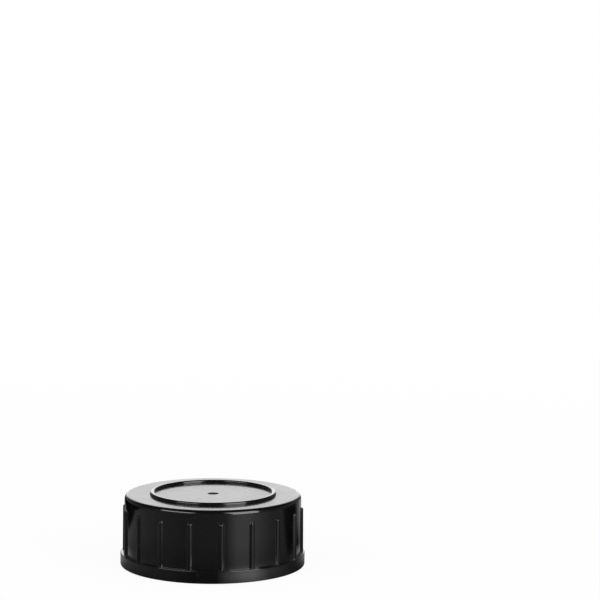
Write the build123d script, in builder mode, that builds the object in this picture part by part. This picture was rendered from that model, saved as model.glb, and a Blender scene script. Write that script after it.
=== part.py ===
"""Ribbed screw cap for a wide-neck laboratory bottle, standing on its rim, with its cone seal insert.

Two mouldings: the cap shell, and the sealing insert that is snapped up against the underside of the deck.
The bottle's neck sets the thread, and the walls of the cap and the insert follow from it.
The origin is on the cap's axis in the plane of the rim, +Z runs up through the deck, and -Y is the front.
All lengths are in millimetres and all angles in degrees.
"""

from build123d import *
import os
from math import degrees, radians, tan

# ------------------------------------------------------------------ driving dimensions

# internal thread: one start, right-handed
thread_root_d = 32.5
thread_pitch = 4.0
thread_depth = 1.05
thread_root_width = 2.2
thread_crest_width = 0.8
thread_edge_r = 0.2
thread_clearance = 0.35  # above the lead-in and below the lugs
thread_run_out = 1.2  # how far round the wall each end of the ridge ramps down
thread_start = -90.0  # angle of the ridge's lower end

# skirt, bead and deck
skirt_wall = 2.2  # thread's root to the outside of the skirt, at the top of the bead
skirt_lean = 0.4  # draft angle of the skirt
bead_proud = 0.75  # skirt to the outside of the bead round the rim, the widest place
bead_height = 2.6
bead_foot_r = 0.25
bead_shoulder_r = 0.2
deck_height = 14.6  # rim to deck
deck_thickness = 1.6
deck_corner_r = 0.85

# raised ring on the deck, and the gate mark at its centre
ring_d = 25.3  # to the middle of the ring
ring_width = 1.0
ring_height = 0.6
ring_crest_r = 0.4
recess_d = 2.3
recess_floor_d = 2.0
recess_depth = 0.25
gate_foot_d = 1.3
gate_top_d = 1.1
gate_height = 0.3

# grip ribs: each is a rod with a rounded upper end, part sunk in the skirt
rib_count = 18
rib_d = 1.1
rib_proud = 0.45
rib_top_gap = 2.6  # deck down to the upper end
rib_end_r = 0.4
rib_angle = 15.2  # from +X to the first rib

# mouth and rim pockets
mouth_relief = 0.2  # how far the plain lead-in stands back from the thread's root
mouth_depth = 1.3
mouth_edge = 0.2  # bevel where the neck enters
pocket_inset = 0.6  # outside of the bead to the pockets
pocket_length = 3.0
pocket_width = 1.1
pocket_depth = 0.45
pocket_corner_r = 0.2

# lugs that hold the insert up against the deck
lug_count = 3
lug_length = 2.6
lug_height = 0.8
lug_lip = 0.3  # height of a lug's inner face
lug_depth = 0.95
lug_angle = 18.0

# sealing insert
insert_clearance = 0.1  # to the wall and to the lugs
flange_thickness = 1.1
flange_width = 2.65  # outside of the flange to the foot of the cone
cone_foot_fillet = 0.6
cone_height = 6.3  # flange to lip
cone_inset = 3.4  # how far the cone closes in on its way to the lip
cone_wall = 1.35  # measured level
lip_width = 0.9
lip_edge_r = 0.3
groove_width = 0.6  # behind the lip, between the cone and the cup
cup_depth = 3.9
cup_lean = 0.3  # how much the cup's radius shrinks towards its floor
cup_wall = 1.1
cup_corner_r = 0.5
gate_pad_d = 6.6
gate_pad_height = 0.12
gate_mark_d = 1.6
gate_mark_height = 0.35

# ------------------------------------------------------------------ worked-out sizes

bite = 0.25  # how deep a ridge, a lug or a gate stub is rooted in its wall

root_r = thread_root_d / 2
mouth_r = root_r + mouth_relief
skirt_r = root_r + skirt_wall
bead_r = skirt_r + bead_proud
skirt_top_r = skirt_r - (deck_height - bead_height) * tan(radians(skirt_lean))
ceiling = deck_height - deck_thickness
ring_inner_r = (ring_d - ring_width) / 2
ring_outer_r = (ring_d + ring_width) / 2
ring_top = deck_height + ring_height
recess_floor = deck_height - recess_depth
pocket_ring_r = bead_r - pocket_inset - pocket_width / 2

flange_r = root_r - insert_clearance
flange_face = ceiling - flange_thickness
lug_top = flange_face - insert_clearance
lug_foot = lug_top - lug_height
lug_arc = degrees(lug_length / root_r)

ridge_crest_r = root_r - thread_depth
ridge_low = mouth_depth + mouth_relief + thread_clearance + thread_root_width / 2
ridge_high = lug_foot - thread_clearance - thread_root_width / 2
ridge_turn = 360 * (ridge_high - ridge_low) / thread_pitch


def revolve_outline(outline):
    """Turn a closed outline of ((radius, height), corner radius) pairs about the cap's axis."""
    points = [point for point, _ in outline]
    corners = [corner for _, corner in outline]
    with BuildSketch(Plane.XZ) as section:
        with BuildLine():
            FilletPolyline(*points, radius=corners, close=True)
        make_face()
    revolve(section.sketch, axis=Axis.Z)


# ------------------------------------------------------------------ grip rib

rib_axis_r = skirt_r + rib_proud - rib_d / 2
rib_plane = Plane((rib_axis_r, 0, bead_height), x_dir=(1, 0, 0), z_dir=(0, -1, 0)).rotated((0, 0, skirt_lean))
rib_root = bead_height / 2
rib_top = deck_height - rib_top_gap - bead_height

with BuildPart() as rib:
    with BuildSketch(rib_plane):
        with BuildLine():
            FilletPolyline(
                (0, -rib_root),
                (rib_d / 2, -rib_root),
                (rib_d / 2, rib_top),
                (0, rib_top),
                radius=(0, 0, rib_end_r, 0),
                close=True,
            )
        make_face()
    revolve(axis=Axis(rib_plane.origin, rib_plane.y_dir))

# ------------------------------------------------------------------ thread ridge

flank = (thread_root_width - thread_crest_width) / 2 / thread_depth
sunk_width = thread_root_width + 2 * bite * flank
slope = thread_run_out / thread_depth
waste_r = ridge_crest_r - bite

with BuildPart() as ridge:
    with BuildLine() as helix:
        Helix(thread_pitch, ridge_high - ridge_low, root_r, center=(0, 0, ridge_low))
    with BuildSketch(Plane.XZ):
        with BuildLine():
            FilletPolyline(
                (root_r + bite, ridge_low - sunk_width / 2),
                (ridge_crest_r, ridge_low - thread_crest_width / 2),
                (ridge_crest_r, ridge_low + thread_crest_width / 2),
                (root_r + bite, ridge_low + sunk_width / 2),
                radius=(0, thread_edge_r, thread_edge_r, 0),
                close=True,
            )
        make_face()
    sweep(path=helix.line, is_frenet=True)

    # each end ramps down to the wall: what lies before the slope is cut away
    for angle, height, way in ((0, ridge_low, 1), (ridge_turn, ridge_high, -1)):
        with BuildSketch(Plane.XY.offset(height).rotated((0, 0, angle))):
            with BuildLine():
                Polyline(
                    (waste_r, way * slope * (root_r - waste_r)),
                    (root_r + bite, -way * slope * bite),
                    (root_r + bite, -way * thread_run_out),
                    (waste_r, -way * thread_run_out),
                    close=True,
                )
            make_face()
        extrude(amount=0.45 * thread_pitch, both=True, mode=Mode.SUBTRACT)

# ------------------------------------------------------------------ retaining lug

with BuildPart() as lug:
    with BuildSketch(Plane.XZ):
        with BuildLine():
            Polyline(
                (root_r + bite, lug_top),
                (root_r - lug_depth, lug_top),
                (root_r - lug_depth, lug_top - lug_lip),
                (root_r, lug_foot),
                (root_r + bite, lug_foot),
                close=True,
            )
        make_face()
    revolve(axis=Axis.Z, revolution_arc=lug_arc)

# ------------------------------------------------------------------ cap shell

with BuildPart() as cap_shell:
    revolve_outline(
        (
            ((0, ceiling), 0),
            ((root_r, ceiling), 0),
            ((root_r, mouth_depth + mouth_relief), 0),
            ((mouth_r, mouth_depth), 0),
            ((mouth_r, mouth_edge), 0),
            ((mouth_r + mouth_edge, 0), 0),
            ((bead_r, 0), bead_foot_r),
            ((bead_r, bead_height), bead_shoulder_r),
            ((skirt_r, bead_height), 0),
            ((skirt_top_r, deck_height), deck_corner_r),
            ((ring_outer_r, deck_height), 0),
            ((ring_outer_r, ring_top), ring_crest_r),
            ((ring_inner_r, ring_top), ring_crest_r),
            ((ring_inner_r, deck_height), 0),
            ((0, deck_height), 0),
        )
    )

    # gate mark: a shallow recess with the stub of the sprue in it
    with BuildSketch(Plane.XY.offset(deck_height)):
        Circle(recess_d / 2)
    with BuildSketch(Plane.XY.offset(recess_floor)):
        Circle(recess_floor_d / 2)
    loft(mode=Mode.SUBTRACT)
    with BuildSketch(Plane.XY.offset(recess_floor - bite)):
        Circle(gate_foot_d / 2)
    with BuildSketch(Plane.XY.offset(recess_floor + gate_height)):
        Circle(gate_top_d / 2)
    loft()

    # grip ribs
    with PolarLocations(0, rib_count, start_angle=rib_angle):
        add(rib.part)

    # thread and retaining lugs
    add(ridge.part, rotation=(0, 0, thread_start))
    with PolarLocations(0, lug_count, start_angle=lug_angle - lug_arc / 2):
        add(lug.part)

    # one shallow pocket under each rib, in the rim's end face
    with BuildSketch(Plane.XY):
        with PolarLocations(pocket_ring_r, rib_count, start_angle=rib_angle):
            RectangleRounded(pocket_width, pocket_length, pocket_corner_r)
    extrude(amount=pocket_depth, mode=Mode.SUBTRACT)

# ------------------------------------------------------------------ sealing insert

cone_foot_r = flange_r - flange_width
lip_r = cone_foot_r - cone_inset
lip_face = flange_face - cone_height
cone_slope = cone_inset / cone_height
cup_floor = lip_face + cup_depth
cup_back = cup_floor + cup_wall
cup_mouth_r = lip_r - lip_width
cup_floor_r = cup_mouth_r - cup_lean
cup_back_r = cup_floor_r + cup_wall
groove_r = cup_back_r + groove_width
groove_floor = lip_face + (groove_r + cone_wall - lip_r) / cone_slope
cone_back_r = lip_r + cone_slope * (ceiling - lip_face) - cone_wall
gate_pad_face = cup_floor - gate_pad_height
gate_mark_face = gate_pad_face - gate_mark_height

with BuildPart() as sealing_insert:
    revolve_outline(
        (
            ((0, gate_mark_face), 0),
            ((gate_mark_d / 2, gate_mark_face), 0),
            ((gate_mark_d / 2, gate_pad_face), 0),
            ((gate_pad_d / 2, gate_pad_face), 0),
            ((gate_pad_d / 2, cup_floor), 0),
            ((cup_floor_r, cup_floor), cup_corner_r),
            ((cup_mouth_r, lip_face), lip_edge_r),
            ((lip_r, lip_face), lip_edge_r),
            ((cone_foot_r, flange_face), cone_foot_fillet),
            ((flange_r, flange_face), 0),
            ((flange_r, ceiling), 0),
            ((cone_back_r, ceiling), 0),
            ((groove_r, groove_floor), 0),
            ((cup_back_r, groove_floor), 0),
            ((cup_back_r, cup_back), 0),
            ((0, cup_back), 0),
        )
    )

# ------------------------------------------------------------------ export

cap_shell.part.label = "cap_shell"
sealing_insert.part.label = "sealing_insert"

os.makedirs("parts", exist_ok=True)
export_step(cap_shell.part, "parts/cap_shell.step")
export_step(sealing_insert.part, "parts/sealing_insert.step")
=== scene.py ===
"""Ribbed screw cap with its cone seal insert: the finished surfaces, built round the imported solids.

The cap shell and the sealing insert are each rebuilt as one closed, fully filleted mesh in the place of
their solid, and a plain pale studio shows them. Lengths are in metres, in the frame of the solids.
"""

import logging
import math
from dataclasses import dataclass, field
from enum import Enum

import bmesh
import bpy
import numpy as np
from mathutils import Matrix, Vector


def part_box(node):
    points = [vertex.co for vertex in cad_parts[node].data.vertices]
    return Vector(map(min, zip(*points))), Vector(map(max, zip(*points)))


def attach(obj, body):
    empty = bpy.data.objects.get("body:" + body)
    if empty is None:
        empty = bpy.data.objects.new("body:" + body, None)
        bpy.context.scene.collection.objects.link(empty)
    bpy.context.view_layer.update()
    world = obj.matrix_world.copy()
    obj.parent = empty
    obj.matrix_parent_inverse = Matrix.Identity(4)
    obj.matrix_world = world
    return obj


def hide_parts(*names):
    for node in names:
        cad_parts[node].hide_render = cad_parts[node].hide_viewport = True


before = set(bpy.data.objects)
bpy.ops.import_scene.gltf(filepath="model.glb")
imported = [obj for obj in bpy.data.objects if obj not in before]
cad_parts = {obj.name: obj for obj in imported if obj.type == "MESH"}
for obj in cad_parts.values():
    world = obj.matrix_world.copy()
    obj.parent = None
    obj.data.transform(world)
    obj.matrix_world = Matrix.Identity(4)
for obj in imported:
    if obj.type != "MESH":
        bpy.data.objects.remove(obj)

log = logging.getLogger("screw_cap")
MM = 0.001
BLACK = (0.0, 0.0, 0.0)
WHITE = (1.0, 1.0, 1.0)
AXIS_FOOT = (0.0, 0.0, 0.0)
NOISE_SWING = (0.3, 0.7)  # what a noise texture mostly swings between

Point = tuple[float, float]  # radius and height
Corner = tuple[Point, float]  # a point of an outline, and the radius of the fillet there
Colour = tuple[float, float, float]
Socket = bpy.types.NodeSocket
Tree = bpy.types.NodeTree


# ------------------------------------------------------------------ mesh tools


class SurfaceOfRings:
    """A closed surface made of rings of points that are bridged one to the next."""

    def __init__(self) -> None:
        """Start with no points and no faces."""
        self.points: list[np.ndarray] = []
        self.faces: list[tuple[int, ...]] = []
        self.count = 0

    def ring(self, radius: np.ndarray | float, angle: np.ndarray, height: np.ndarray | float) -> np.ndarray:
        """Add a ring of points.

        Args:
            radius: Distance of each point from the axis.
            angle: Angle of each point, in radians.
            height: Height of each point.

        Returns:
            The numbers of the new points.
        """
        radius = np.broadcast_to(radius, angle.shape)
        height = np.broadcast_to(height, angle.shape)
        self.points.append(np.column_stack((radius * np.cos(angle), radius * np.sin(angle), height)))
        self.count += len(angle)
        return np.arange(self.count - len(angle), self.count)

    def follow(
        self, last: np.ndarray, radius: np.ndarray | float, angle: np.ndarray, height: np.ndarray | float
    ) -> np.ndarray:
        """Add a ring and join it to the last one, which has as many points, by four-sided faces.

        Args:
            last: Point numbers of the last ring.
            radius: Distance of each new point from the axis.
            angle: Angle of each new point, in radians.
            height: Height of each new point.

        Returns:
            The numbers of the new points.
        """
        ring = self.ring(radius, angle, height)
        total = len(ring)
        for i in range(total):
            j = (i + 1) % total
            self.faces.append((last[i], last[j], ring[j], ring[i]))
        return ring

    def thin_out(self, last: np.ndarray, radius: float, angle: np.ndarray, height: float) -> np.ndarray:
        """Add a ring with half as many points as the last one, and join the two.

        Args:
            last: Point numbers of the last ring.
            radius: Radius of the new ring.
            angle: Angle of each new point, in radians.
            height: Height of the new ring.

        Returns:
            The numbers of the new points.
        """
        ring = self.ring(radius, angle, height)
        total = len(ring)
        for i in range(total):
            j = (i + 1) % total
            left, middle, right = last[2 * i], last[2 * i + 1], last[(2 * i + 2) % len(last)]
            self.faces.append((left, middle, ring[i]))
            self.faces.append((middle, right, ring[j], ring[i]))
        return ring

    def close(self, ring: np.ndarray, height: float) -> None:
        """Close a ring by a fan of triangles to a point on the axis.

        Args:
            ring: Point numbers of the ring.
            height: Height of the point on the axis.
        """
        centre = self.ring(0.0, np.zeros(1), height)[0]
        for i, point in enumerate(ring):
            self.faces.append((point, ring[(i + 1) % len(ring)], centre))

    def finished(self, name: str, weld: float) -> bpy.types.Object:
        """Turn the points and faces into a clean smooth-shaded object.

        Args:
            name: Name of the object.
            weld: Points nearer to each other than this become one.

        Returns:
            The object, linked to the scene.
        """
        mesh = bpy.data.meshes.new(name)
        mesh.from_pydata(np.vstack(self.points).tolist(), [], [tuple(map(int, f)) for f in self.faces])
        work = bmesh.new()
        work.from_mesh(mesh)
        bmesh.ops.remove_doubles(work, verts=work.verts, dist=weld)
        bmesh.ops.dissolve_degenerate(work, edges=work.edges, dist=weld / 4)
        bmesh.ops.recalc_face_normals(work, faces=work.faces)
        for face in work.faces:
            face.smooth = True
        work.to_mesh(mesh)
        work.free()
        piece = bpy.data.objects.new(name, mesh)
        bpy.context.scene.collection.objects.link(piece)
        return piece


def arc(centre: Point, radius: float, start: float, end: float, steps: int) -> list[Point]:
    """Give points on an arc in the plane of radius and height.

    Args:
        centre: Radius and height of the arc's centre.
        radius: Radius of the arc itself.
        start: First angle in degrees, where 0 points outwards and 90 up.
        end: Last angle in degrees.
        steps: Number of stretches between the points.

    Returns:
        The points.
    """
    turns = [math.radians(start + (end - start) * i / steps) for i in range(steps + 1)]
    return [(centre[0] + radius * math.cos(t), centre[1] + radius * math.sin(t)) for t in turns]


def filleted(corners: list[Corner], steps: int, guard: float) -> list[Point]:
    """Round the corners of an open outline and set a guard point on each side of every fillet.

    Args:
        corners: The outline's corners.
        steps: Number of stretches in each fillet.
        guard: Distance of the guard points from the fillet's ends.

    Returns:
        The outline's points.
    """
    line = [corners[0][0]]
    for (before, _), (corner, fillet), (after, _) in zip(corners, corners[1:], corners[2:]):
        here = Vector(corner)
        back, ahead = (Vector(before) - here).normalized(), (Vector(after) - here).normalized()
        half = back.angle(ahead) / 2
        reach = fillet / math.tan(half)
        centre = here + (back + ahead).normalized() * (fillet / math.sin(half))
        first = here + back * reach
        last = here + ahead * reach
        sweep = math.pi - 2 * half
        turn = 1 if (first - centre).cross(last - centre) > 0 else -1
        line.append(tuple(first + back * guard))
        for i in range(steps + 1):
            spin = Matrix.Rotation(turn * sweep * i / steps, 2)
            line.append(tuple(centre + spin @ (first - centre)))
        line.append(tuple(last + ahead * guard))
    return line + [corners[-1][0]]


# ------------------------------------------------------------------ cap shell


@dataclass
class GripRibs:
    """The rods round the skirt, part sunk in it, with a fillet along the foot and a rounded upper end."""

    count: int = 18
    first: float = 15.2  # degrees from +X
    rod_r: float = 0.55 * MM
    proud: float = 0.45 * MM
    fillet: float = 0.08 * MM
    top: float = 12.0 * MM
    end_r: float = 0.4 * MM
    end_turns: tuple = (0, 14, 28, 42, 55, 67, 78, 90)  # degrees round the upper end, one for each row
    rows_above: tuple = (0.024 * MM, 0.08 * MM, 0.32 * MM, 0.8 * MM)  # rows on the skirt above the ends
    least_half: float = 0.3 * MM  # half-width that the columns keep above the ribs
    across: tuple = (0.0, 0.3, 0.56, 0.76, 0.86, 0.93, 1.0)  # columns on a rib, in half-widths
    beside: tuple = (2.1, 3.2, 4.70, 4.82, 6.3, 8.1)  # columns beside a rib, in degrees from its middle

    def rod(self, height: float) -> float:
        """Give the rod's radius at a height.

        Args:
            height: The height above the rim.

        Returns:
            The radius, which is nothing above the rod.
        """
        if height > self.top:
            return 0.0
        rise = max(height - self.top + self.end_r, 0.0)
        return self.rod_r - self.end_r + math.sqrt(max(self.end_r**2 - rise**2, 0.0))

    def end_rows(self) -> list[float]:
        """Give the heights of the rows round the upper end."""
        start = self.top - self.end_r
        return [start + self.end_r * math.sin(math.radians(turn)) for turn in self.end_turns]

    def half_width(self, height: float) -> float:
        """Give the half-width of the rib with its fillet at a height."""
        sunk, rod = self.rod_r - self.proud, self.rod(height)
        return math.sqrt((rod + self.fillet) ** 2 - (sunk + self.fillet) ** 2) if rod > sunk else 0.0

    def stand(self, across: np.ndarray, height: float) -> np.ndarray:
        """Give how far the rib stands out of the skirt.

        Args:
            across: Distances from the rib's middle, along the skirt.
            height: The height above the rim.

        Returns:
            The distance out of the skirt at each place.
        """
        rod, sunk, half = self.rod(height), self.rod_r - self.proud, self.half_width(height)
        if half == 0.0:
            return np.zeros_like(across)
        away = np.abs(across)
        junction = rod * half / (rod + self.fillet)
        crown = np.sqrt(np.maximum(rod**2 - away**2, 0.0)) - sunk
        foot = self.fillet - np.sqrt(np.maximum(self.fillet**2 - (half - away) ** 2, 0.0))
        return np.where(away >= half, 0.0, np.where(away <= junction, crown, foot))


@dataclass
class ThreadRidge:
    """The right-handed ridge inside the skirt, one start, with sloped ends."""

    pitch: float = 4.0 * MM
    depth: float = 1.05 * MM
    crest_half: float = 0.4 * MM
    root_half: float = 1.1 * MM
    low: float = 2.95 * MM
    high: float = 9.55 * MM
    start: float = -90.0  # degrees from +X
    run_out: float = 1.2 * MM
    ease: float = 0.25 * MM  # how softly the flanks meet the crest and the wall
    rows: tuple = (0.0, 0.22, 0.34, 0.41, 0.48, 0.58, 0.72, 0.86, 0.97, 1.05, 1.13, 1.22, 1.5, 1.8)  # mm
    covered: tuple = (-1, 4)  # turns of the wall that the rows cover, counted from the ridge's start

    def turns(self) -> float:
        """Give how many turns the ridge makes."""
        return (self.high - self.low) / self.pitch

    def stand(self, offset: float, way: np.ndarray, radius: float) -> np.ndarray:
        """Give how far the ridge stands in from the wall.

        Args:
            offset: Distance above the middle of the ridge.
            way: Turns made since the ridge's start.
            radius: Radius of the wall.

        Returns:
            The distance in from the wall at each place.
        """
        slope = self.depth / (self.root_half - self.crest_half)
        flank = (self.root_half - abs(offset)) * slope
        level = self.eased(self.depth, flank)
        along = 2 * math.pi * radius
        ends = np.minimum(way, self.turns() - way) * along / self.run_out * self.depth
        return np.maximum(np.minimum(level, ends), 0.0)

    def eased(self, first: float, second: float) -> float:
        """Give the lesser of two values, rounded where they cross and where they reach nothing.

        Args:
            first: One value.
            second: The other value.

        Returns:
            The rounded lesser value.
        """
        share = min(max(0.5 + 0.5 * (second - first) / self.ease, 0.0), 1.0)
        lesser = second + (first - second) * share - self.ease * share * (1 - share)
        share = min(max(0.5 + 0.5 * lesser / self.ease, 0.0), 1.0)
        return lesser * share + self.ease * share * (1 - share)


@dataclass
class RetainingLugs:
    """The three lugs that hold the insert up against the deck."""

    count: int = 3
    half_arc: float = 4.58  # degrees
    middle: float = 22.58  # degrees from +X
    top: float = 11.8 * MM
    foot: float = 11.0 * MM
    lip: float = 0.3 * MM
    depth: float = 0.95 * MM
    end_slope: float = 0.12  # degrees


@dataclass
class CapShell:
    """The black moulding: deck, ring, gate mark, skirt, ribs, bead, rim pockets, thread and lugs."""

    bead_r: float
    top: float
    ribs: GripRibs = field(default_factory=GripRibs)
    thread: ThreadRidge = field(default_factory=ThreadRidge)
    lugs: RetainingLugs = field(default_factory=RetainingLugs)
    guard: float = 0.04 * MM  # between a fillet's end and the next row of points
    bead_height: float = 2.6 * MM
    bead_proud: float = 0.75 * MM
    bead_foot_r: float = 0.25 * MM
    bead_shoulder_r: float = 0.2 * MM
    bead_root_r: float = 0.08 * MM
    skirt_lean: float = 0.4  # degrees
    skirt_rows: int = 6
    deck_corner_r: float = 0.85 * MM
    deck_shares: tuple = (0.2, 0.45, 0.7, 1.0)  # where rings lie between the corner and the raised ring
    deck_thinning: tuple = (9.0 * MM, 6.0 * MM)  # where the deck's rings drop every other point
    ring_height: float = 0.6 * MM
    ring_inner_r: float = 12.15 * MM
    ring_outer_r: float = 13.15 * MM
    ring_crest_r: float = 0.4 * MM
    ring_root_r: float = 0.08 * MM
    recess_r: float = 1.15 * MM
    recess_floor_r: float = 1.0 * MM
    recess_depth: float = 0.25 * MM
    stub_foot_r: float = 0.605 * MM
    stub_top_r: float = 0.55 * MM
    stub_height: float = 0.3 * MM
    gate_edge_r: float = 0.05 * MM
    gate_rings: tuple = (4.0 * MM, 2.2 * MM)  # plain rings round the recess
    pocket_outer_r: float = 18.6 * MM
    pocket_inner_r: float = 17.5 * MM
    pocket_depth: float = 0.45 * MM
    pocket_half: float = 4.76  # degrees
    pocket_slope: float = 0.03 * MM
    mouth_r: float = 16.45 * MM
    mouth_depth: float = 1.3 * MM
    mouth_edge: float = 0.2 * MM
    wall_r: float = 16.25 * MM
    ceiling: float = 13.0 * MM
    ceiling_ring_r: float = 12.0 * MM
    ceiling_thinning: tuple = (8.0 * MM, 4.0 * MM)
    foot_steps: int = 5
    shoulder_steps: int = 6
    root_steps: int = 4
    corner_steps: int = 8
    ring_steps: int = 7
    gate_steps: int = 4
    weld: float = 0.001 * MM

    def __post_init__(self) -> None:
        """Work out the sizes that follow from the others."""
        self.deck = self.top - self.ring_height
        self.skirt_r = self.bead_r - self.bead_proud
        self.deck_r = self.skirt(self.deck)
        self.thread_top = self.lugs.foot - 4 * self.guard
        self.pitch = 2 * math.pi / self.ribs.count
        self.angles, self.stands = self.columns(self.bead_height)
        self.even = self.angles[0] + 2 * math.pi * np.arange(len(self.angles)) / len(self.angles)

    def skirt(self, height: float) -> float:
        """Give the skirt's radius at a height."""
        return self.skirt_r - (height - self.bead_height) * math.tan(math.radians(self.skirt_lean))

    def rib_middles(self) -> np.ndarray:
        """Give the angles of the ribs' middles."""
        return math.radians(self.ribs.first) + self.pitch * np.arange(self.ribs.count)

    def columns(self, height: float) -> tuple[np.ndarray, np.ndarray]:
        """Place the columns of points round the cap at a height.

        Args:
            height: The height above the rim.

        Returns:
            The columns' angles, and how far the ribs stand out of the skirt there.
        """
        half = max(self.ribs.half_width(height), self.ribs.least_half)
        across = np.array([-t for t in self.ribs.across[:0:-1]] + list(self.ribs.across)) * half
        beside = np.radians(self.ribs.beside)
        offsets = np.concatenate((-beside[::-1], across / self.skirt(height), beside, [self.pitch / 2]))
        nothing = np.zeros(len(beside))
        stands = np.concatenate((nothing, self.ribs.stand(across, height), nothing, [0.0]))
        return (self.rib_middles()[:, None] + offsets).ravel(), np.tile(stands, self.ribs.count)

    def build(self) -> bpy.types.Object:
        """Make the whole shell as one closed surface.

        Returns:
            The shell's object.
        """
        surface = SurfaceOfRings()
        bead_foot = self.add_bead(surface)
        self.add_rim_and_mouth(surface, bead_foot)
        return surface.finished("cap_shell_moulding", self.weld)

    def add_bead(self, surface: SurfaceOfRings) -> np.ndarray:
        """Add the bead, and everything above it on the outside.

        Args:
            surface: The surface to add to.

        Returns:
            The ring at the bead's foot, where the rim's end face starts.
        """
        foot = self.bead_foot_r
        line = arc((self.bead_r - foot, foot), foot, -90, 0, self.foot_steps)
        side_top = self.bead_height - self.bead_shoulder_r
        line += [(self.bead_r, foot + self.guard), (self.bead_r, (foot + side_top) / 2)]
        line += [(self.bead_r, side_top - self.guard)]
        first = last = surface.ring(line[0][0], self.angles, line[0][1])
        for radius, height in line[1:]:
            last = surface.follow(last, radius, self.angles, height)
        # the shoulder starts where the rib, if there is one, lets it
        root = self.bead_root_r
        root_r = self.skirt_r + self.stands + root
        shoulder_r = np.maximum(self.bead_r - self.bead_shoulder_r, root_r + self.guard)
        for turn in np.linspace(0, math.pi / 2, self.shoulder_steps + 1):
            radius = shoulder_r + (self.bead_r - shoulder_r) * math.cos(turn)
            height = side_top + self.bead_shoulder_r * math.sin(turn)
            last = surface.follow(last, radius, self.angles, height)
        for turn in np.linspace(0, math.pi / 2, self.root_steps + 1):
            radius = root_r - root * math.sin(turn)
            height = self.bead_height + root * (1 - math.cos(turn))
            last = surface.follow(last, radius, self.angles, height)
        self.add_skirt(surface, last)
        return first

    def add_skirt(self, surface: SurfaceOfRings, last: np.ndarray) -> None:
        """Add the skirt with its ribs, then the deck.

        Args:
            surface: The surface to add to.
            last: The ring at the foot of the skirt.
        """
        foot = self.bead_height + self.bead_root_r + self.guard
        end = self.ribs.end_rows()
        corner = self.deck_corner_r
        heights = list(np.linspace(foot, end[0] - self.guard, self.skirt_rows)) + end
        heights += [self.ribs.top + rise for rise in self.ribs.rows_above]
        heights += [self.deck - corner - self.guard]
        for height in heights:
            angles, stands = self.columns(height)
            last = surface.follow(last, self.skirt(height) + stands, angles, height)
        centre = (self.deck_r - corner, self.deck - corner)
        for radius, height in arc(centre, corner, 0, 90, self.corner_steps):
            angles, _ = self.columns(height)
            last = surface.follow(last, radius, angles, height)
        self.add_deck(surface, last)

    def add_deck(self, surface: SurfaceOfRings, last: np.ndarray) -> None:
        """Add the deck with its raised ring, then the gate mark.

        Args:
            surface: The surface to add to.
            last: The ring at the deck's edge.
        """
        angles, _ = self.columns(self.deck)
        edge_r = self.deck_r - self.deck_corner_r
        apron = 5 * self.guard  # deck that is modelled with the raised ring, on each side of it
        outer, inner, root = self.ring_outer_r, self.ring_inner_r, self.ring_root_r
        last = surface.follow(last, edge_r - self.guard, angles, self.deck)
        for share in self.deck_shares:
            radius = edge_r + (outer + apron + self.guard - edge_r) * share
            last = surface.follow(last, radius, angles + (self.even - angles) * share, self.deck)
        corners = [
            ((outer + apron, self.deck), 0.0),
            ((outer, self.deck), root),
            ((outer, self.top), self.ring_crest_r),
            ((inner, self.top), self.ring_crest_r),
            ((inner, self.deck), root),
            ((inner - apron, self.deck), 0.0),
        ]
        for radius, height in filleted(corners, self.ring_steps, self.guard / 2):
            last = surface.follow(last, radius, self.even, height)
        last = surface.follow(last, inner - apron - 3 * self.guard, self.even, self.deck)
        angles = self.even
        for radius in self.deck_thinning:
            angles = angles[::2]
            last = surface.thin_out(last, radius, angles, self.deck)
        self.add_gate(surface, last, angles)

    def add_gate(self, surface: SurfaceOfRings, last: np.ndarray, angles: np.ndarray) -> None:
        """Add the recess at the middle of the deck and the stub of the sprue in it.

        Args:
            surface: The surface to add to.
            last: The ring before.
            angles: The angles of its points.
        """
        for radius in self.gate_rings:
            last = surface.follow(last, radius, angles, self.deck)
        edge = self.gate_edge_r
        floor = self.deck - self.recess_depth
        stub_top = floor + self.stub_height
        corners = [
            ((self.recess_r + 3 * edge, self.deck), 0.0),
            ((self.recess_r, self.deck), edge),
            ((self.recess_floor_r, floor), edge),
            ((self.stub_foot_r, floor), edge),
            ((self.stub_top_r, stub_top), edge),
            ((self.stub_top_r / 3, stub_top), 0.0),
        ]
        for radius, height in filleted(corners, self.gate_steps, edge / 5):
            last = surface.follow(last, radius, angles, height)
        surface.close(last, stub_top)

    def add_rim_and_mouth(self, surface: SurfaceOfRings, last: np.ndarray) -> None:
        """Add the rim's end face with its pockets and the mouth, then the inside.

        Args:
            surface: The surface to add to.
            last: The ring at the bead's foot.
        """
        away = self.angles[:, None] - self.rib_middles()
        away = np.abs((away + math.pi) % (2 * math.pi) - math.pi).min(axis=1)
        depth = np.where(away < math.radians(self.pocket_half), self.pocket_depth, 0.0)
        outer, inner, slope = self.pocket_outer_r, self.pocket_inner_r, self.pocket_slope
        edge, wall = self.mouth_edge, self.wall_r
        step_top = self.mouth_depth + self.mouth_r - wall
        line = [
            (self.bead_r - self.bead_foot_r - self.guard, 0.0),
            (outer + 2 * slope, 0.0),
            (outer + slope, 0.0),
            (outer - slope, depth),
            (outer - 3 * slope, depth),
            ((outer + inner) / 2, depth),
            (inner + 3 * slope, depth),
            (inner + slope, depth),
            (inner - slope, 0.0),
            (inner - 2 * slope, 0.0),
            (self.mouth_r + edge + self.guard, 0.0),
            *arc((self.mouth_r + edge, edge), edge, -90, -180, self.foot_steps),
            (self.mouth_r, edge + self.guard),
            (self.mouth_r, self.mouth_depth - self.guard),
            (self.mouth_r, self.mouth_depth),
            (wall, step_top),
            (wall, step_top + self.guard),
        ]
        for radius, height in line:
            last = surface.follow(last, radius, self.angles, height)
        self.add_thread(surface, step_top + self.guard)
        self.add_lugs_and_ceiling(surface)

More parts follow.
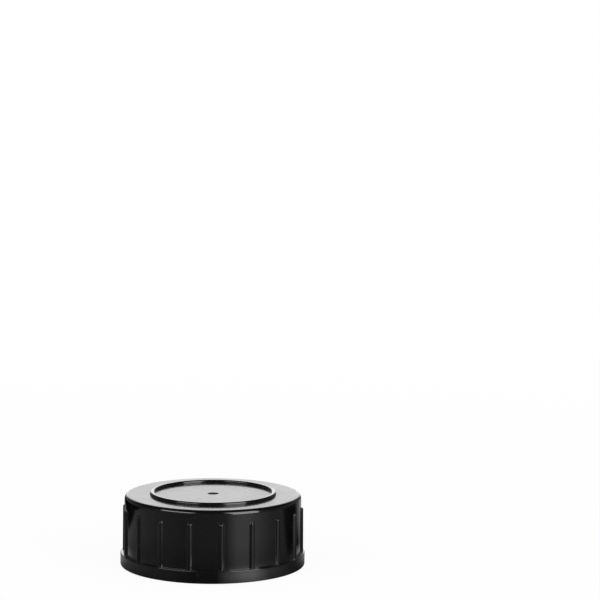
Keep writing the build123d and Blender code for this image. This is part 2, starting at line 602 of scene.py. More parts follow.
    def add_thread(self, surface: SurfaceOfRings, bottom: float) -> None:
        """Add the wall with the thread's ridge, as rows that climb with the ridge.

        Args:
            surface: The surface to add to.
            bottom: Height where the wall starts.
        """
        thread = self.thread
        offsets = [-o * MM for o in thread.rows[:0:-1]] + [o * MM for o in thread.rows]
        turned = np.mod(self.angles - math.radians(thread.start), 2 * math.pi) / (2 * math.pi)
        order = np.argsort(turned)
        turned, angles = turned[order], self.angles[order]
        rows = []
        for turn in range(*thread.covered):
            for offset in offsets:
                way = turned + turn
                height = thread.low + thread.pitch * way + offset
                stand = thread.stand(offset, way, self.wall_r)
                inside = (height > bottom) & (height < self.thread_top)
                height = np.clip(height, bottom, self.thread_top)
                rows.append(surface.ring(self.wall_r - np.where(inside, stand, 0.0), angles, height))
        for i, (first, second) in enumerate(zip(rows, rows[1:])):
            for j in range(len(angles) - 1):
                surface.faces.append((first[j], first[j + 1], second[j + 1], second[j]))
            turn_on = i + len(offsets)  # the row that this one runs into after a whole turn
            if turn_on + 1 < len(rows):
                surface.faces.append((first[-1], rows[turn_on][0], rows[turn_on + 1][0], second[-1]))

    def add_lugs_and_ceiling(self, surface: SurfaceOfRings) -> None:
        """Add the wall above the thread with the lugs, and the underside of the deck.

        Args:
            surface: The surface to add to.
        """
        lugs, angles = self.lugs, self.angles.copy()
        inside = np.zeros(len(angles), bool)
        half, slope = math.radians(lugs.half_arc), math.radians(lugs.end_slope)
        for i in range(lugs.count):
            middle = math.radians(lugs.middle) + 2 * math.pi * i / lugs.count
            away = (angles - middle + math.pi) % (2 * math.pi) - math.pi
            inside |= np.abs(away) < half
            # the columns nearest to each end of the lug move up to it
            for side in (-1, 1):
                beyond = np.where(side * away >= half, side * away, np.inf).argmin()
                within = np.where(side * away < half, side * away, -np.inf).argmax()
                angles[beyond] += side * (half + slope) - away[beyond]
                angles[within] += side * (half - slope) - away[within]
        small = self.guard / 2
        depth = lugs.depth * inside
        rounded = depth - small * inside
        lip_foot = lugs.top - lugs.lip
        line = [
            (0.0, lugs.foot - small),
            (0.0, lugs.foot),
            (depth / 2, (lugs.foot + lip_foot) / 2),
            (rounded, lip_foot - small),
            (depth, lip_foot + small),
            (depth, lugs.top - small),
            (rounded, lugs.top),
            (0.0, lugs.top),
            (0.0, lugs.top + small),
            (0.0, self.ceiling - self.guard),
            (0.0, self.ceiling),
            (self.guard, self.ceiling),
        ]
        last = surface.ring(self.wall_r, self.angles, self.thread_top)
        for stand, height in line:
            last = surface.follow(last, self.wall_r - stand, angles, height)
        last = surface.follow(last, self.ceiling_ring_r, self.even, self.ceiling)
        angles = self.even
        for radius in self.ceiling_thinning:
            angles = angles[::2]
            last = surface.thin_out(last, radius, angles, self.ceiling)
        surface.close(last, self.ceiling)


# ------------------------------------------------------------------ sealing insert


@dataclass
class SealingInsert:
    """The milky moulding: flange, cone lip, cup, and the gate mark on the cup's floor."""

    flange_r: float
    lip_face: float
    back: float
    columns: int = 256
    guard: float = 0.05 * MM
    longest: float = 0.9 * MM  # longest stretch between two rings
    fillet_steps: int = 7
    flange_thickness: float = 1.1 * MM
    flange_width: float = 2.65 * MM
    flange_edge_r: float = 0.2 * MM
    cone_inset: float = 3.4 * MM
    cone_foot_fillet: float = 0.6 * MM
    cone_wall: float = 1.35 * MM
    lip_width: float = 0.9 * MM
    lip_edge_r: float = 0.3 * MM
    groove_width: float = 0.6 * MM
    cup_depth: float = 3.9 * MM
    cup_lean: float = 0.3 * MM
    cup_wall: float = 1.1 * MM
    cup_corner_r: float = 0.5 * MM
    small_edge_r: float = 0.08 * MM
    pad_r: float = 3.3 * MM
    pad_inner_r: float = 1.6 * MM
    pad_height: float = 0.12 * MM
    back_rings: tuple = (5.0 * MM, 2.5 * MM)
    mark_r: float = 0.8 * MM
    mark_height: float = 0.35 * MM
    mark_top_r: float = 0.18 * MM
    mark_waves: tuple = ((5, 0.22, 0.0), (10, 0.08, 1.0))  # points round the edge, their swing and phase
    mark_rings: tuple = (
        (1.25, 0.0, 0.4),
        (1.08, 0.03, 0.8),
        (0.95, 0.25, 1.0),
        (0.8, 0.6, 1.0),
        (0.62, 0.86, 1.0),
        (0.4, 0.97, 0.6),
    )  # share of the radius, share of the height, and how ragged the ring is
    weld: float = 0.0005 * MM

    def __post_init__(self) -> None:
        """Work out the levels of the cup's floor."""
        self.floor = self.lip_face + self.cup_depth
        self.pad_face = self.floor - self.pad_height
        self.cup_back = self.floor + self.cup_wall

    def outline(self) -> list[Point]:
        """Give the outline from the gate pad round to the back.

        Returns:
            The points.
        """
        flange_face = self.back - self.flange_thickness
        cone_foot_r = self.flange_r - self.flange_width
        lip_r = cone_foot_r - self.cone_inset
        slope = self.cone_inset / (flange_face - self.lip_face)
        cup_mouth_r = lip_r - self.lip_width
        cup_floor_r = cup_mouth_r - self.cup_lean
        cup_back_r = cup_floor_r + self.cup_wall
        groove_r = cup_back_r + self.groove_width
        groove_floor = self.lip_face + (groove_r + self.cone_wall - lip_r) / slope
        cone_back_r = lip_r + slope * (self.back - self.lip_face) - self.cone_wall
        small = self.small_edge_r
        corners = [
            ((self.pad_inner_r, self.pad_face), 0.0),
            ((self.pad_r, self.pad_face), small / 2),
            ((self.pad_r, self.floor), small / 2),
            ((cup_floor_r, self.floor), self.cup_corner_r),
            ((cup_mouth_r, self.lip_face), self.lip_edge_r),
            ((lip_r, self.lip_face), self.lip_edge_r),
            ((cone_foot_r, flange_face), self.cone_foot_fillet),
            ((self.flange_r, flange_face), self.flange_edge_r),
            ((self.flange_r, self.back), small),
            ((cone_back_r, self.back), small),
            ((groove_r, groove_floor), small),
            ((cup_back_r, groove_floor), small),
            ((cup_back_r, self.cup_back), self.cup_corner_r),
            ((self.back_rings[0], self.cup_back), 0.0),
        ]
        return filleted(corners, self.fillet_steps, self.guard / 2)

    def build(self) -> bpy.types.Object:
        """Make the insert as one closed surface.

        Returns:
            The insert's object.
        """
        surface = SurfaceOfRings()
        angles = 2 * math.pi * np.arange(self.columns) / self.columns
        line = self.outline()
        first = last = surface.ring(line[0][0], angles, line[0][1])
        for before, here in zip(line, line[1:]):
            parts = max(1, math.ceil(math.dist(before, here) / self.longest))
            for part in range(1, parts + 1):
                radius = before[0] + (here[0] - before[0]) * part / parts
                height = before[1] + (here[1] - before[1]) * part / parts
                last = surface.follow(last, radius, angles, height)
        last = surface.thin_out(last, self.back_rings[1], angles[::2], self.cup_back)
        surface.close(last, self.cup_back)
        self.add_gate_mark(surface, first, angles)
        return surface.finished("sealing_insert_moulding", self.weld)

    def add_gate_mark(self, surface: SurfaceOfRings, last: np.ndarray, angles: np.ndarray) -> None:
        """Add the torn-off gate at the middle of the pad, a low stub with a ragged, star-like edge.

        Args:
            surface: The surface to add to.
            last: The innermost ring of the pad.
            angles: The angles of its points.
        """
        star = sum(swing * np.cos(points * angles + phase) for points, swing, phase in self.mark_waves)
        for radius, drop, raggedness in self.mark_rings:
            edge = self.mark_r * radius * (1 + star * raggedness)
            last = surface.follow(last, edge, angles, self.pad_face - self.mark_height * drop)
        face = self.pad_face - self.mark_height
        last = surface.thin_out(last, self.mark_top_r, angles[::2], face)
        surface.close(last, face)


# ------------------------------------------------------------------ node tools


class Sum(Enum):
    """What a math node works out."""

    SUBTRACT = "SUBTRACT"
    MULTIPLY = "MULTIPLY"
    COSINE = "COSINE"
    ARCSINE = "ARCSINE"
    ARCTAN2 = "ARCTAN2"
    ABSOLUTE = "ABSOLUTE"
    COMPARE = "COMPARE"
    LESS_THAN = "LESS_THAN"


class Blend(Enum):
    """What a mix node mixes: its data type, and the places of its two inputs and its output."""

    NUMBERS = ("FLOAT", 2, 3, 0)
    COLOURS = ("RGBA", 6, 7, 2)


def feed(tree: Tree, value: Socket | Colour | float, entry: Socket) -> None:
    """Feed an input of a node.

    Args:
        tree: The node tree.
        value: A socket to link, or a plain colour or number.
        entry: The input.
    """
    if isinstance(value, Socket):
        tree.links.new(value, entry)
    else:
        entry.default_value = (*value, 1.0) if isinstance(value, tuple) else value


def worked_out(tree: Tree, kind: Sum, *values: Socket | float) -> Socket:
    """Work a value out from others.

    Args:
        tree: The node tree.
        kind: What is worked out.
        values: What it is worked out from.

    Returns:
        The socket that gives the result.
    """
    node = tree.nodes.new("ShaderNodeMath")
    node.operation = kind.value
    for value, entry in zip(values, node.inputs):
        feed(tree, value, entry)
    return node.outputs[0]


def mixed(
    tree: Tree, kind: Blend, share: Socket, first: Socket | Colour | float, second: Socket | Colour | float
) -> Socket:
    """Mix two colours or two numbers.

    Args:
        tree: The node tree.
        kind: Whether they are colours or numbers.
        share: The socket that gives the second one's share.
        first: The first one, or a socket with it.
        second: The second one, or a socket with it.

    Returns:
        The socket that gives the mixture.
    """
    data_type, first_place, second_place, result = kind.value
    node = tree.nodes.new("ShaderNodeMix")
    node.data_type = data_type
    feed(tree, share, node.inputs[0])
    feed(tree, first, node.inputs[first_place])
    feed(tree, second, node.inputs[second_place])
    return node.outputs[result]


def mapped(tree: Tree, value: Socket, source: tuple, target: tuple = (0.0, 1.0)) -> Socket:
    """Map one range of values onto another, and hold the result at its ends.

    Args:
        tree: The node tree.
        value: The socket that gives the value.
        source: The range of the value.
        target: The range of the result.

    Returns:
        The socket that gives the result.
    """
    node = tree.nodes.new("ShaderNodeMapRange")
    for name, limit in zip(("From Min", "From Max", "To Min", "To Max"), (*source, *target)):
        node.inputs[name].default_value = limit
    tree.links.new(value, node.inputs["Value"])
    return node.outputs["Result"]


def ramp(tree: Tree, value: Socket, stops: tuple, low: float, high: float) -> Socket:
    """Turn a value from 0 to 1 into a brightness.

    Args:
        tree: The node tree.
        value: The socket that gives the value.
        stops: Pairs of a place between low and high, and the brightness there.
        low: The place that a value of 0 stands for.
        high: The place that a value of 1 stands for.

    Returns:
        The socket that gives the brightness, as a grey colour.
    """
    node = tree.nodes.new("ShaderNodeValToRGB")
    tree.links.new(value, node.inputs["Fac"])
    elements = node.color_ramp.elements
    while len(elements) < len(stops):
        elements.new(0.5)
    for element, (place, bright) in zip(elements, stops):
        element.position = (place - low) / (high - low)
        element.color = (bright, bright, bright, 1.0)
    return node.outputs["Color"]


def noise(tree: Tree, place: Socket, scale: Socket | float, detail: float) -> Socket:
    """Add a noise texture.

    Args:
        tree: The node tree.
        place: The socket that gives the place.
        scale: The noise's scale, or a socket with it.
        detail: How much finer noise is laid over it.

    Returns:
        The socket that gives the noise.
    """
    texture = tree.nodes.new("ShaderNodeTexNoise")
    texture.inputs["Detail"].default_value = detail
    tree.links.new(place, texture.inputs["Vector"])
    feed(tree, scale, texture.inputs["Scale"])
    return texture.outputs["Fac"]


def object_place(tree: Tree) -> Socket:
    """Give the socket with the place on the piece."""
    return tree.nodes.new("ShaderNodeTexCoord").outputs["Object"]


def split(tree: Tree, vector: Socket) -> tuple[Socket, ...]:
    """Split a vector into its parts.

    Args:
        tree: The node tree.
        vector: The socket that gives the vector.

    Returns:
        The sockets that give its X, Y and Z.
    """
    node = tree.nodes.new("ShaderNodeSeparateXYZ")
    tree.links.new(vector, node.inputs[0])
    return tuple(node.outputs)


def distance_from(tree: Tree, point: tuple) -> Socket:
    """Give how far each place on the piece is from a point.

    Args:
        tree: The node tree.
        point: The point.

    Returns:
        The socket that gives the distance.
    """
    node = tree.nodes.new("ShaderNodeVectorMath")
    node.operation = "DISTANCE"
    node.inputs[1].default_value = point
    tree.links.new(object_place(tree), node.inputs[0])
    return node.outputs["Value"]


def bumped(tree: Tree, height: Socket, strength: float, depth: float, below: Socket | None = None) -> Socket:
    """Add a bump.

    Args:
        tree: The material's node tree.
        height: The socket that gives the height.
        strength: Strength of the bump.
        depth: Height of the bump's full swing, in metres.
        below: Socket with the normal that the bump is laid over, if any.

    Returns:
        The socket that gives the normal.
    """
    node = tree.nodes.new("ShaderNodeBump")
    node.inputs["Strength"].default_value = strength
    node.inputs["Distance"].default_value = depth
    tree.links.new(height, node.inputs["Height"])
    if below is not None:
        tree.links.new(below, node.inputs["Normal"])
    return node.outputs["Normal"]


# ------------------------------------------------------------------ finishes


@dataclass(frozen=True)
class MouldSkin:
    """What every moulded surface has, as a shader group: faint waves, fine grain, dust and flow marks."""

    name: str = "mould_skin"
    inputs: tuple = (
        ("Wave Scale", 260.0),
        ("Grain Scale", 4200.0),
        ("Dust Scale", 1500.0),
        ("Dust Share", 0.3),
    )
    outputs: tuple = ("Waves", "Grain", "Dust", "Flow")
    wave_detail: float = 1.0
    grain_detail: float = 3.0
    dust_detail: float = 2.0
    dust_full: float = 0.85
    flow_fold: float = 0.5  # of the turn round the axis, which makes both ends of the turn alike
    flow_bend: float = 120.0
    flow_bend_detail: float = 2.0
    flow_scale: float = 7.0
    flow_detail: float = 3.0

    def group(self) -> Tree:
        """Give the shader group, and build it if there is none yet.

        Returns:
            The group.
        """
        if self.name in bpy.data.node_groups:
            return bpy.data.node_groups[self.name]
        tree = bpy.data.node_groups.new(self.name, "ShaderNodeTree")
        for label, value in self.inputs:
            entry = tree.interface.new_socket(label, in_out="INPUT", socket_type="NodeSocketFloat")
            entry.default_value = value
        for label in self.outputs:
            tree.interface.new_socket(label, in_out="OUTPUT", socket_type="NodeSocketFloat")
        given = tree.nodes.new("NodeGroupInput").outputs
        result = tree.nodes.new("NodeGroupOutput").inputs
        place = object_place(tree)
        tree.links.new(noise(tree, place, given["Wave Scale"], self.wave_detail), result["Waves"])
        tree.links.new(noise(tree, place, given["Grain Scale"], self.grain_detail), result["Grain"])
        specks = tree.nodes.new("ShaderNodeMapRange")
        specks.interpolation_type = "SMOOTHSTEP"
        specks.inputs["From Max"].default_value = self.dust_full
        least = worked_out(tree, Sum.SUBTRACT, 1.0, given["Dust Share"])
        tree.links.new(noise(tree, place, given["Dust Scale"], self.dust_detail), specks.inputs["Value"])
        tree.links.new(least, specks.inputs["From Min"])
        tree.links.new(specks.outputs["Result"], result["Dust"])
        tree.links.new(self.flow_marks(tree, place), result["Flow"])
        return tree

    def flow_marks(self, tree: Tree, place: Socket) -> Socket:
        """Add the flow marks that run out from the gate: noise over the turn round the axis, a little bent.

        Args:
            tree: The group's node tree.
            place: The socket that gives the place.

        Returns:
            The socket that gives the marks.
        """
        x, y, _ = split(tree, place)
        turn = worked_out(tree, Sum.ARCTAN2, y, x)
        fold = worked_out(tree, Sum.COSINE, worked_out(tree, Sum.MULTIPLY, turn, self.flow_fold))
        join = tree.nodes.new("ShaderNodeCombineXYZ")
        tree.links.new(fold, join.inputs["X"])
        tree.links.new(noise(tree, place, self.flow_bend, self.flow_bend_detail), join.inputs["Y"])
        return noise(tree, join.outputs[0], self.flow_scale, self.flow_detail)


def new_material(name: str) -> tuple[bpy.types.Material, bpy.types.ShaderNode, bpy.types.ShaderNode]:
    """Make a material with its main shader and the mould skin in it.

    Args:
        name: Name of the material.

    Returns:
        The material, its Principled shader and the skin's group node.
    """
    material = bpy.data.materials.new(name)
    material.use_nodes = True
    shader = material.node_tree.nodes["Principled BSDF"]
    skin = material.node_tree.nodes.new("ShaderNodeGroup")
    skin.node_tree = MouldSkin().group()
    return material, shader, skin


def skin_normal(tree: Tree, skin: bpy.types.ShaderNode, waves: tuple, grain: tuple) -> Socket:
    """Lay the skin's grain over its waves.

    Args:
        tree: The material's node tree.
        skin: The skin's group node.
        waves: Strength and depth of the waves.
        grain: Strength and depth of the grain.

    Returns:
        The socket that gives the normal.
    """
    return bumped(tree, skin.outputs["Grain"], *grain, bumped(tree, skin.outputs["Waves"], *waves))


@dataclass(frozen=True)
class GlossyBlackMoulding:
    """Black polypropylene: glossy, satin on the flat of the deck, with faint flow marks, grain and dust."""

    name: str = "glossy_black_polypropylene"
    colour: Colour = (0.0030, 0.0029, 0.0031)
    flow_colour: Colour = (0.0045, 0.0044, 0.0046)
    dust_colour: Colour = (0.03, 0.03, 0.029)
    dust_share: float = 0.34
    gloss: tuple = (0.12, 0.2)  # roughness, over the grain
    satin: tuple = (0.24, 0.29)  # roughness on the flat of the deck, over the flow marks
    satin_coat: float = 0.65
    satin_level: float = 14.6 * MM
    satin_reach: float = 0.02 * MM
    torn: float = 0.65
    torn_coat: float = 0.0
    torn_middle: tuple = (0.0, 0.0, 14.35 * MM)  # a ball about this point holds the recess round the gate
    torn_reach: float = 1.2 * MM
    waves: tuple = (0.25, 0.02 * MM)  # strength and depth
    grain: tuple = (0.2, 0.003 * MM)
    coat_roughness: float = 0.05
    refraction: float = 1.5

    def build(self) -> bpy.types.Material:
        """Build the material.

        Returns:
            The material.
        """
        material, shader, skin = new_material(self.name)
        tree = material.node_tree
        skin.inputs["Dust Share"].default_value = self.dust_share
        flow = mapped(tree, skin.outputs["Flow"], NOISE_SWING)
        tone = mixed(tree, Blend.COLOURS, flow, self.colour, self.flow_colour)
        tone = mixed(tree, Blend.COLOURS, skin.outputs["Dust"], tone, self.dust_colour)
        _, _, level = split(tree, object_place(tree))
        flat = worked_out(tree, Sum.COMPARE, level, self.satin_level, self.satin_reach)
        torn = worked_out(tree, Sum.LESS_THAN, distance_from(tree, self.torn_middle), self.torn_reach)
        gloss = mapped(tree, skin.outputs["Grain"], NOISE_SWING, self.gloss)
        satin = mapped(tree, skin.outputs["Flow"], NOISE_SWING, self.satin)
        roughness = mixed(tree, Blend.NUMBERS, flat, gloss, satin)
        coat = mixed(tree, Blend.NUMBERS, flat, 1.0, self.satin_coat)
        tree.links.new(tone, shader.inputs["Base Color"])
        tree.links.new(mixed(tree, Blend.NUMBERS, torn, roughness, self.torn), shader.inputs["Roughness"])
        tree.links.new(mixed(tree, Blend.NUMBERS, torn, coat, self.torn_coat), shader.inputs["Coat Weight"])
        tree.links.new(skin_normal(tree, skin, self.waves, self.grain), shader.inputs["Normal"])
        shader.inputs["IOR"].default_value = self.refraction
        shader.inputs["Coat Roughness"].default_value = self.coat_roughness
        shader.inputs["Coat IOR"].default_value = self.refraction
        return material


@dataclass(frozen=True)
class MilkyMoulding:
    """Natural low-density polyethylene: milky, a little waxy, and slightly cloudy along its flow marks."""

    name: str = "milky_polyethylene"
    colour: Colour = (0.50, 0.49, 0.56)
    cloud_colour: Colour = (0.60, 0.59, 0.65)
    torn_colour: Colour = (0.86, 0.86, 0.87)
    torn_middle: tuple = (0.0, 0.0, 9.2 * MM)  # a ball about this point holds the torn-off gate
    torn_reach: float = 0.95 * MM
    wax: tuple = (0.32, 0.46)  # roughness, over the grain
    waves: tuple = (0.35, 0.04 * MM)  # strength and depth
    grain: tuple = (0.25, 0.006 * MM)
    scatter: float = 0.25
    scatter_depth: float = 1.2 * MM
    refraction: float = 1.51

    def build(self) -> bpy.types.Material:
        """Build the material.

        Returns:
            The material.
        """
        material, shader, skin = new_material(self.name)
        tree = material.node_tree
        flow = mapped(tree, skin.outputs["Flow"], NOISE_SWING)
        tone = mixed(tree, Blend.COLOURS, flow, self.colour, self.cloud_colour)
        torn = worked_out(tree, Sum.LESS_THAN, distance_from(tree, self.torn_middle), self.torn_reach)
        wax = mapped(tree, skin.outputs["Grain"], NOISE_SWING, self.wax)
        tree.links.new(mixed(tree, Blend.COLOURS, torn, tone, self.torn_colour), shader.inputs["Base Color"])
        tree.links.new(wax, shader.inputs["Roughness"])
        tree.links.new(skin_normal(tree, skin, self.waves, self.grain), shader.inputs["Normal"])
        shader.inputs["Subsurface Weight"].default_value = self.scatter
        shader.inputs["Subsurface Scale"].default_value = self.scatter_depth
        shader.inputs["IOR"].default_value = self.refraction
        return material


def dress(piece: bpy.types.Object, node: str, material: bpy.types.Material) -> None:
    """Give a piece its finish and tie it to the frame.

    Args:
        piece: The piece.
        node: The solid that it stands for.
        material: Its finish.
    """
    piece.data.materials.append(material)
    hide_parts(node)
    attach(piece, "root")
    log.info("%s: %d faces", piece.name, len(piece.data.polygons))


# ------------------------------------------------------------------ studio


def direction(azimuth: float, elevation: float) -> Vector:
    """Give the unit vector for an azimuth from the front towards +X, and an elevation, in degrees."""
    turn, rise = math.radians(azimuth), math.radians(elevation)
    return Vector((math.sin(turn) * math.cos(rise), -math.cos(turn) * math.cos(rise), math.sin(rise)))


@dataclass(frozen=True)
class Softbox:
    """A soft lamp, placed by direction from the cap."""

    name: str
    azimuth: float  # degrees round the cap from the front, towards +X
    elevation: float
    distance: float
    width: float
    length: float
    power: float

    def build(self, target: Vector) -> None:
        """Hang the lamp and turn it to the cap.

        Args:
            target: The point that the lamp faces.
        """
        data = bpy.data.lights.new(self.name, "AREA")
        data.shape = "RECTANGLE"
        data.size, data.size_y = self.width, self.length
        data.energy = self.power
        lamp = bpy.data.objects.new(self.name, data)
        away = direction(self.azimuth, self.elevation)
        lamp.location = target + away * self.distance
        lamp.rotation_euler = (-away).to_track_quat("-Z", "Y").to_euler()
        lamp.visible_camera = False
        bpy.context.scene.collection.objects.link(lamp)


@dataclass
class Studio:
    """The pale floor, the surroundings, the lamps and the camera."""

    cap_height: float
    cap_radius: float
    softboxes: tuple = (
        Softbox("right_softbox", 43, 28, 0.9, 0.60, 0.75, 4.2),
        Softbox("left_softbox", -52, 36, 0.9, 0.66, 0.30, 1.8),
    )
    picture: int = 600
    focal_pixels: float = 1877.0
    sensor: float = 36.0
    clip: tuple = (0.01, 50)
    distance: float = 395 * MM
    elevation: float = 11.9
    middle_pixel: tuple = (212.9, 526.6)  # where the cap's middle lands
    roll: float = 0.6  # turn of the camera about its line of sight, in degrees
    floor_size: float = 6.0
    floor_colour: Colour = (0.9, 0.9, 0.9)
    floor_glow: tuple = (0.94, 1.0)  # share of plain white in the floor's look, at the cap and far away
    floor_fade: tuple = (40 * MM, 400 * MM)  # between these distances the one gives way to the other
    near: tuple = (28 * MM, 34 * MM)  # between these distances the near gleam gives way to the far one
    contact: tuple = (19 * MM, 25 * MM)  # painted shadow at the cap's foot in the floor's gleam: between these distances the near gleam comes up from its share
    contact_share: float = 0.5
    shade: tuple = (33 * MM, 58 * MM)  # painted shadow of the cap in the floor's gleam: between these distances the far gleam comes up from its share
    shade_share: float = 0.62
    gleam: tuple = (
        (-180, 0.12), (-140, 0.165), (-122, 0.14), (-98, 0.13), (-60, 0.1), (-38, 0.078), (0, 0.075),
        (17, 0.11), (32, 0.46), (46, 0.44), (59, 0.29), (78, 0.12), (98, 0.10), (104, 0.0), (128, 0.0),
        (136, 0.15), (142, 0.16), (150, 0.42), (158, 0.1), (180, 0.1),
    )  # degrees round the cap from the front, and the painted reflection: how bright the floor there looks in the cap's gloss
    near_gleam: tuple = (
        (-180, 0.3), (-126, 0.33), (-116, 0.24), (-107, 0.12), (-88, 0.12), (-50, 0.07), (-20, 0.02),
        (5, 0.02), (24, 0.6), (36, 1.0), (48, 1.1), (66, 0.25), (95, 0.04), (106, 0.06), (115, 0.15),
        (125, 0.26), (138, 0.2), (180, 0.3),
    )  # the same close to the cap
    painted_dark_reflection_corner: tuple = (-43 * MM, 24 * MM)  # corner of the painted dark reflection, a patch behind the cap on its left where the floor looks black in the cap's gloss
    painted_dark_reflection_edge: float = 5 * MM
    daylight: float = 0.62
    sky: tuple = ((-90, 0.1), (-3, 0.2), (0, 1.35), (17, 1.35), (30, 0.25), (42, 0.05), (90, 0.02))
    aside: tuple = (0.34, 0.14)  # how far aside a direction points where the sky turns from dark to bright
    backwards: tuple = (0.0, 0.3)  # how far backwards it points there
    dark_sky: float = 0.06

    def build(self) -> None:
        """Set up everything round the cap."""
        bpy.context.scene.view_settings.view_transform = "Standard"
        middle = Vector((0, 0, self.cap_height / 2))
        self.build_camera(middle)
        self.build_floor()
        self.build_surroundings()
        for softbox in self.softboxes:
            softbox.build(middle)

    def build_camera(self, middle: Vector) -> None:
        """Place the camera so that the cap's middle lands on its pixel, and the cap stands level there.

        Args:
            middle: The cap's middle.
        """
        data = bpy.data.cameras.new("camera")
        data.sensor_width = self.sensor
        data.lens = self.focal_pixels * self.sensor / self.picture
        data.clip_start, data.clip_end = self.clip
        camera = bpy.data.objects.new("camera", data)
        camera.location = middle + direction(0, self.elevation) * self.distance
        roll = math.radians(self.roll)
        place = Vector(self.middle_pixel) - Vector((self.picture / 2, self.picture / 2))
        across, down = Matrix.Rotation(-roll, 2) @ place
        length = math.hypot(across, down, self.focal_pixels)
        side, fall, ahead = across / length, down / length, self.focal_pixels / length
        drop = math.atan2(fall, ahead)
        tilt = math.asin(math.sin(math.radians(self.elevation)) / math.hypot(fall, ahead)) - drop
        turn = math.atan2(side, ahead * math.cos(tilt) - fall * math.sin(tilt))
        upright = Matrix.Rotation(turn, 3, "Z") @ Matrix.Rotation(math.pi / 2 - tilt, 3, "X")
        camera.rotation_euler = (upright @ Matrix.Rotation(roll, 3, "Z")).to_euler()
        bpy.context.scene.collection.objects.link(camera)
        bpy.context.scene.camera = camera

    def build_floor(self) -> None:
        """Lay the pale floor, which takes the cap's soft shadow."""
        half = self.floor_size / 2
        corners = [(-half, -half, 0), (half, -half, 0), (half, half, 0), (-half, half, 0)]
        mesh = bpy.data.meshes.new("floor")
        mesh.from_pydata(corners, [], [(0, 1, 2, 3)])
        floor = bpy.data.objects.new("floor", mesh)
        bpy.context.scene.collection.objects.link(floor)
        material = bpy.data.materials.new("pale_floor")
        material.use_nodes = True
        tree = material.node_tree
        nodes, links = tree.nodes, tree.links
        nodes.remove(nodes["Principled BSDF"])
        matt = nodes.new("ShaderNodeBsdfDiffuse")
        white, painted_reflection = (nodes.new("ShaderNodeEmission") for _ in range(2))
        seen, whole = (nodes.new("ShaderNodeMixShader") for _ in range(2))
        path = nodes.new("ShaderNodeLightPath")
        away = distance_from(tree, AXIS_FOOT)
        glow = mixed(tree, Blend.NUMBERS, mapped(tree, away, self.floor_fade), *self.floor_glow)
        feed(tree, self.floor_colour, matt.inputs["Color"])
        feed(tree, WHITE, white.inputs["Color"])
        # painted reflection: glossy rays alone see the floor glow in this pattern
        feed(tree, self.floor_gleam(tree, away), painted_reflection.inputs["Color"])
        links.new(worked_out(tree, Sum.MULTIPLY, path.outputs["Is Camera Ray"], glow), seen.inputs["Fac"])
        links.new(matt.outputs[0], seen.inputs[1])
        links.new(white.outputs[0], seen.inputs[2])
        links.new(path.outputs["Is Glossy Ray"], whole.inputs["Fac"])
        links.new(seen.outputs[0], whole.inputs[1])
        links.new(painted_reflection.outputs[0], whole.inputs[2])
        links.new(whole.outputs[0], nodes["Material Output"].inputs["Surface"])
        mesh.materials.append(material)

    def floor_gleam(self, tree: Tree, away: Socket) -> Socket:
        """Work out the painted reflection: how bright the floor looks in the cap's gloss, by its place round
        the cap, with painted shadow near the cap and a painted dark patch behind it on its left.

        Args:
            tree: The floor's node tree.
            away: The socket that gives the distance from the cap's axis.

        Returns:
            The socket that gives the brightness.
        """
        # the gleam is measured round a point half-way from the axis to the front of the cap
        shift = tree.nodes.new("ShaderNodeVectorMath")
        shift.inputs[1].default_value = (0.0, self.cap_radius / 2, 0.0)
        tree.links.new(object_place(tree), shift.inputs[0])
        x, y, _ = split(tree, shift.outputs[0])
        turn = worked_out(tree, Sum.ARCTAN2, x, worked_out(tree, Sum.MULTIPLY, y, -1.0))
        turn = mapped(tree, turn, (-math.pi, math.pi))
        near, far = (ramp(tree, turn, stops, -180, 180) for stops in (self.near_gleam, self.gleam))
        # painted shadow: the floor's gleam is darker close to the cap
        lift = mixed(tree, Blend.NUMBERS, mapped(tree, away, self.contact), self.contact_share, 1.0)
        near = mixed(tree, Blend.COLOURS, lift, BLACK, near)
        lift = mixed(tree, Blend.NUMBERS, mapped(tree, away, self.shade), self.shade_share, 1.0)
        far = mixed(tree, Blend.COLOURS, lift, BLACK, far)
        bright = mixed(tree, Blend.COLOURS, mapped(tree, away, self.near), near, far)
        # painted dark reflection: beyond this corner, behind the cap on its left, the floor looks black in
        # the cap's gloss
        side, back = self.painted_dark_reflection_corner[0], self.painted_dark_reflection_corner[1] + self.cap_radius / 2
        half = self.painted_dark_reflection_edge / 2
        beyond = mapped(tree, x, (side + half, side - half))
        behind = mapped(tree, y, (back - half, back + half))
        painted_dark_reflection = worked_out(tree, Sum.MULTIPLY, beyond, behind)
        return mixed(tree, Blend.COLOURS, painted_dark_reflection, bright, BLACK)

    def build_surroundings(self) -> None:
        """Make the world: white to look at, bright along the horizon behind in gloss, and dark overhead."""
        world = bpy.data.worlds.new("studio")
        bpy.context.scene.world = world
        world.use_nodes = True
        tree = world.node_tree
        x, y, z = split(tree, tree.nodes.new("ShaderNodeTexCoord").outputs["Generated"])
        climb = mapped(tree, worked_out(tree, Sum.ARCSINE, z), (-math.pi / 2, math.pi / 2))
        sky = ramp(tree, climb, self.sky, -90, 90)
        behind = mixed(tree, Blend.NUMBERS, mapped(tree, y, self.backwards), self.dark_sky, 1.0)
        narrow = mapped(tree, worked_out(tree, Sum.ABSOLUTE, x), self.aside)
        share = mixed(tree, Blend.NUMBERS, narrow, self.dark_sky, behind)
        gloss = mixed(tree, Blend.COLOURS, share, BLACK, sky)
        path = tree.nodes.new("ShaderNodeLightPath").outputs
        light = mixed(tree, Blend.COLOURS, path["Is Glossy Ray"], (self.daylight,) * 3, gloss)
        seen = mixed(tree, Blend.COLOURS, path["Is Camera Ray"], light, WHITE)
        back = tree.nodes["Background"]
        back.inputs["Strength"].default_value = 1.0
        tree.links.new(seen, back.inputs["Color"])


# ------------------------------------------------------------------ assembly


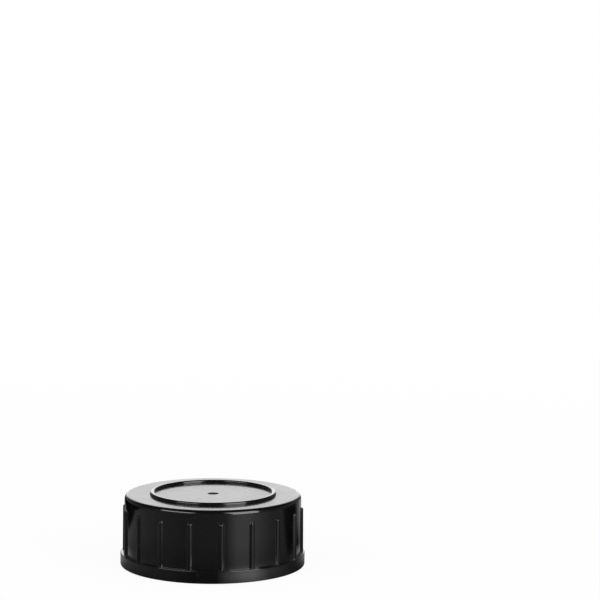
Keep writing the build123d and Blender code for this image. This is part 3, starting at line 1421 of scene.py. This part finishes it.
def main() -> None:
    """Build the cap, the insert and the studio."""
    logging.basicConfig(level=logging.INFO, format="%(name)s: %(message)s")
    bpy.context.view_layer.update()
    _, shell_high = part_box("cap_shell")
    insert_low, insert_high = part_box("sealing_insert")

    black = GlossyBlackMoulding().build()
    milky = MilkyMoulding().build()
    shell = CapShell(bead_r=shell_high.x, top=shell_high.z).build()
    dress(shell, "cap_shell", black)
    insert = SealingInsert(flange_r=insert_high.x, lip_face=insert_low.z, back=insert_high.z).build()
    dress(insert, "sealing_insert", milky)

    Studio(cap_height=shell_high.z, cap_radius=shell_high.x).build()


if __name__ == "__main__":
    main()
